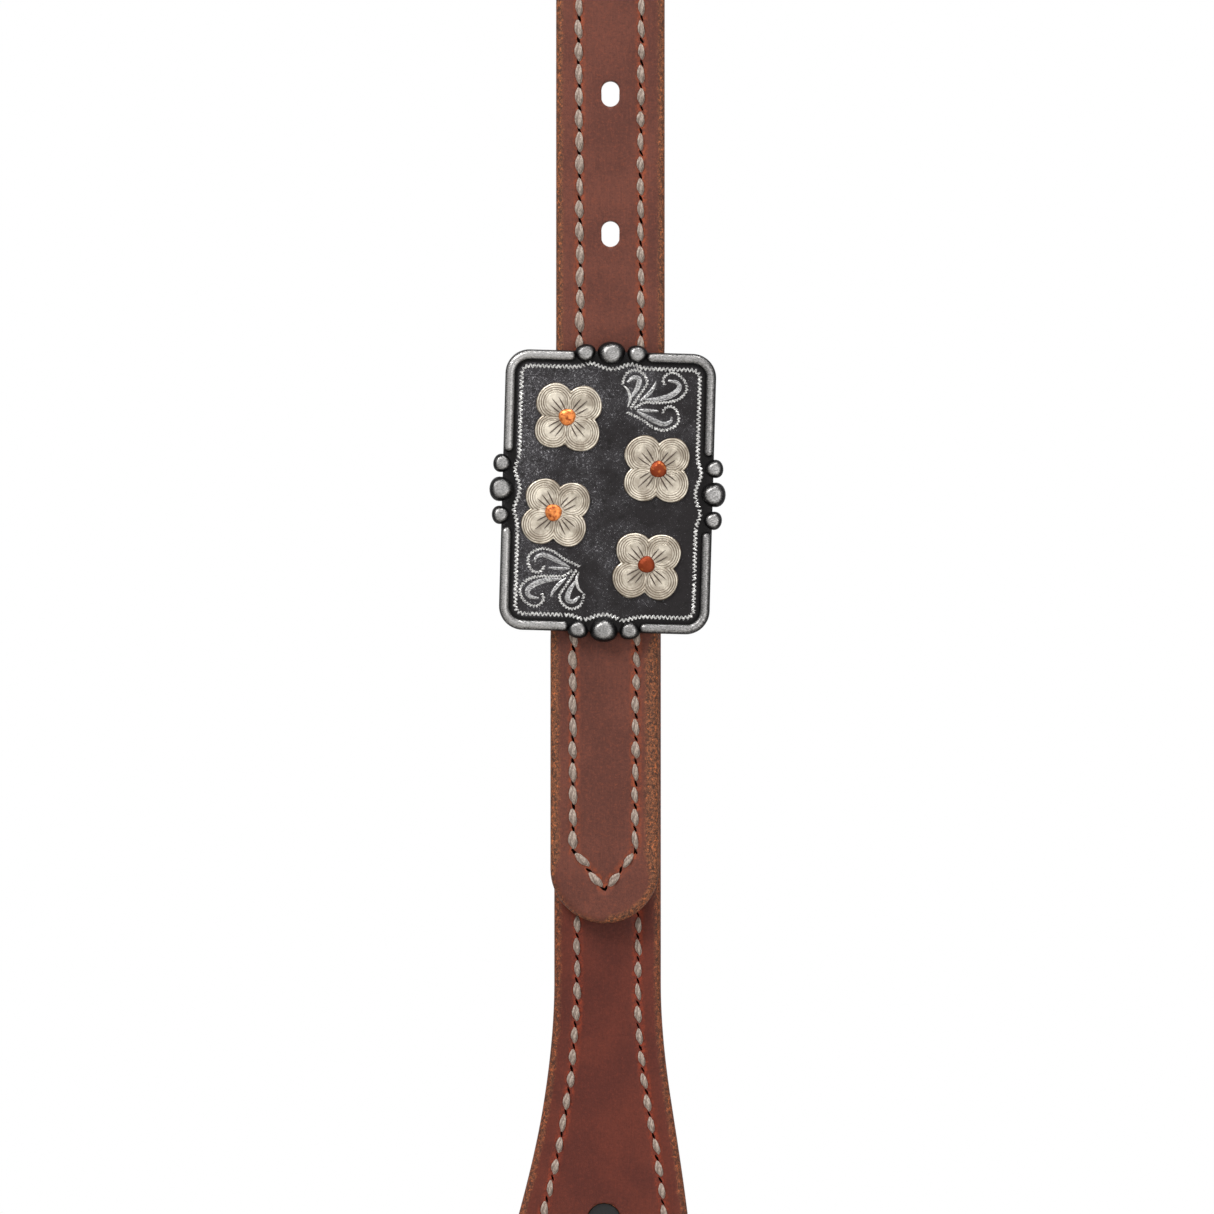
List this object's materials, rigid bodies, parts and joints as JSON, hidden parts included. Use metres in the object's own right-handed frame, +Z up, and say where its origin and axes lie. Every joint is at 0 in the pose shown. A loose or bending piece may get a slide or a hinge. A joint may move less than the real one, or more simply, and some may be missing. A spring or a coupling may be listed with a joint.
{
  "type": "breastplate",
  "caption": "Western breast collar: two curved leather halves on a centre ring, decorated buckles joining them to punched tugs with bolt snaps, and a buckled girth strap below.",
  "frame": {"origin": "the inside of the right bolt snap's crown, where it hangs on the saddle's dee", "axes": "+Z up along the hanging tugs, -Y out of the decorated front face, +X towards the viewer's right"},
  "size_m": [0.5236, 0.0266, 0.9967],
  "materials": {
    "tug_leather": "oiled chestnut leather, smooth grain, satin",
    "collar_leather": "oiled chestnut leather, slightly darker and redder, satin",
    "lining_leather": "undyed-backed leather, matte",
    "thread": "waxed light grey-beige twisted thread",
    "antique_silver": "antiqued engraved silver plate, dark ground with bright cuts",
    "flower_silver": "warm German silver, brushed and engraved",
    "copper": "polished copper domes",
    "dark_hardware": "antiqued steel",
    "snap_metal": "antiqued cast snap",
    "dark_rivets": "blackened rivet heads",
    "spring_steel": "bright spring wire"
  },
  "bodies": {
    "right_tug": {"right_tug_outer": "tug_leather", "right_tug_lining": "lining_leather", "right_tug_thread": "thread", "right_tug_rivets": "dark_rivets", "right_buckle_plate": "antique_silver", "right_buckle_flowers": "flower_silver", "right_flower_rivets": "copper", "right_buckle_frame": "dark_hardware", "right_buckle_bar": "dark_hardware"},
    "right_tongue": {"right_buckle_tongue": "dark_hardware"},
    "right_collar": {"right_collar_outer": "collar_leather", "right_collar_lining": "lining_leather", "right_collar_thread": "thread", "right_ring_rivets": "dark_rivets", "right_dee_tab": "lining_leather", "right_dee_rivet": "dark_rivets"},
    "right_dee_ring": {"right_dee": "dark_hardware"},
    "right_eye": {"right_snap_eye": "snap_metal"},
    "right_snap": {"right_snap_body": "snap_metal", "right_snap_spring": "spring_steel"},
    "right_bolt": {"right_snap_bolt": "snap_metal"},
    "left_tug": {"left_tug_outer": "tug_leather", "left_tug_lining": "lining_leather", "left_tug_thread": "thread", "left_tug_rivets": "dark_rivets", "left_buckle_plate": "antique_silver", "left_buckle_flowers": "flower_silver", "left_flower_rivets": "copper", "left_buckle_frame": "dark_hardware", "left_buckle_bar": "dark_hardware"},
    "left_tongue": {"left_buckle_tongue": "dark_hardware"},
    "left_collar": {"left_collar_outer": "collar_leather", "left_collar_lining": "lining_leather", "left_collar_thread": "thread", "left_ring_rivets": "dark_rivets", "left_dee_tab": "lining_leather", "left_dee_rivet": "dark_rivets"},
    "left_dee_ring": {"left_dee": "dark_hardware"},
    "left_eye": {"left_snap_eye": "snap_metal"},
    "left_snap": {"left_snap_body": "snap_metal", "left_snap_spring": "spring_steel"},
    "left_bolt": {"left_snap_bolt": "snap_metal"},
    "ring": {"centre_ring": "dark_hardware"},
    "girth": {"girth_strap_upper": "collar_leather", "girth_strap_billet": "collar_leather", "girth_thread": "thread", "girth_rivets": "dark_rivets", "girth_buckle_frame": "dark_hardware", "girth_keeper": "collar_leather"},
    "girth_tongue": {"girth_buckle_tongue": "dark_hardware"},
    "girth_eye": {"girth_snap_eye": "snap_metal"},
    "girth_snap": {"girth_snap_body": "snap_metal", "girth_snap_spring": "spring_steel"},
    "girth_bolt": {"girth_snap_bolt": "snap_metal"}
  },
  "joints": [
    {"name": "right_collar_fold", "type": "hinge", "parent": "right_tug", "child": "right_collar", "pos_m": [0.009, 0.00505, -0.24505], "axis": [1, 0, 0], "range_deg": [0, 75]},
    {"name": "right_tongue_lift", "type": "hinge", "parent": "right_tug", "child": "right_tongue", "pos_m": [0.009, 0.00505, -0.24505], "axis": [-1, 0, 0], "range_deg": [0, 55]},
    {"name": "right_snap_fold", "type": "hinge", "parent": "right_tug", "child": "right_eye", "pos_m": [0.009, 0, -0.076], "axis": [1, 0, 0], "range_deg": [-60, 60]},
    {"name": "right_snap_swivel", "type": "hinge", "parent": "right_eye", "child": "right_snap", "pos_m": [0.009, 0, -0.076], "axis": [0, 0, 1], "continuous": true},
    {"name": "right_bolt_slide", "type": "slide", "parent": "right_snap", "child": "right_bolt", "axis": [0, 0, -1], "range_m": [0, 0.008], "stiffness_N_per_m": 800, "springref_m": -0.004, "deforming": ["right_snap_spring"]},
    {"name": "right_dee_flip", "type": "hinge", "parent": "right_collar", "child": "right_dee_ring", "pos_m": [-0.01659, 0.009, -0.3663], "axis": [0.454, 0, -0.891], "range_deg": [-50, 80]},
    {"name": "ring_fold", "type": "hinge", "parent": "right_collar", "child": "ring", "pos_m": [-0.20748, 0.00718, -0.62382], "axis": [0.3746, 0, -0.9272], "range_deg": [0, 60]},
    {"name": "left_collar_swing", "type": "hinge", "parent": "ring", "child": "left_collar", "pos_m": [-0.25731, 0.00718, -0.62382], "axis": [-0.3746, 0, -0.9272], "range_deg": [0, 75]},
    {"name": "left_dee_flip", "type": "hinge", "parent": "left_collar", "child": "left_dee_ring", "pos_m": [-0.4482, 0.009, -0.3663], "axis": [0.454, 0, 0.891], "range_deg": [-50, 80]},
    {"name": "left_collar_fold", "type": "hinge", "parent": "left_collar", "child": "left_tug", "pos_m": [-0.47379, 0.00505, -0.24505], "axis": [-1, 0, 0], "range_deg": [0, 75]},
    {"name": "left_tongue_lift", "type": "hinge", "parent": "left_tug", "child": "left_tongue", "pos_m": [-0.47379, 0.00505, -0.24505], "axis": [-1, 0, 0], "range_deg": [0, 55]},
    {"name": "left_snap_fold", "type": "hinge", "parent": "left_tug", "child": "left_eye", "pos_m": [-0.47379, 0, -0.076], "axis": [1, 0, 0], "range_deg": [-60, 60]},
    {"name": "left_snap_swivel", "type": "hinge", "parent": "left_eye", "child": "left_snap", "pos_m": [-0.47379, 0, -0.076], "axis": [0, 0, 1], "continuous": true},
    {"name": "left_bolt_slide", "type": "slide", "parent": "left_snap", "child": "left_bolt", "axis": [0, 0, -1], "range_m": [0, 0.008], "stiffness_N_per_m": 800, "springref_m": -0.004, "deforming": ["left_snap_spring"]},
    {"name": "girth_swing", "type": "hinge", "parent": "ring", "child": "girth", "pos_m": [-0.23239, 0.00718, -0.66076], "axis": [1, 0, 0], "range_deg": [-75, 75]},
    {"name": "girth_tongue_lift", "type": "hinge", "parent": "girth", "child": "girth_tongue", "pos_m": [-0.23239, 0.0053, -0.76576], "axis": [-1, 0, 0], "range_deg": [0, 20]},
    {"name": "girth_snap_fold", "type": "hinge", "parent": "girth", "child": "girth_eye", "pos_m": [-0.23239, 0.0122, -0.90876], "axis": [1, 0, 0], "range_deg": [-60, 60]},
    {"name": "girth_snap_swivel", "type": "hinge", "parent": "girth_eye", "child": "girth_snap", "pos_m": [-0.23239, 0.0122, -0.90876], "axis": [0, 0, -1], "continuous": true},
    {"name": "girth_bolt_slide", "type": "slide", "parent": "girth_snap", "child": "girth_bolt", "axis": [0, 0, 1], "range_m": [0, 0.008], "stiffness_N_per_m": 800, "springref_m": -0.004, "deforming": ["girth_snap_spring"]}
  ]
}
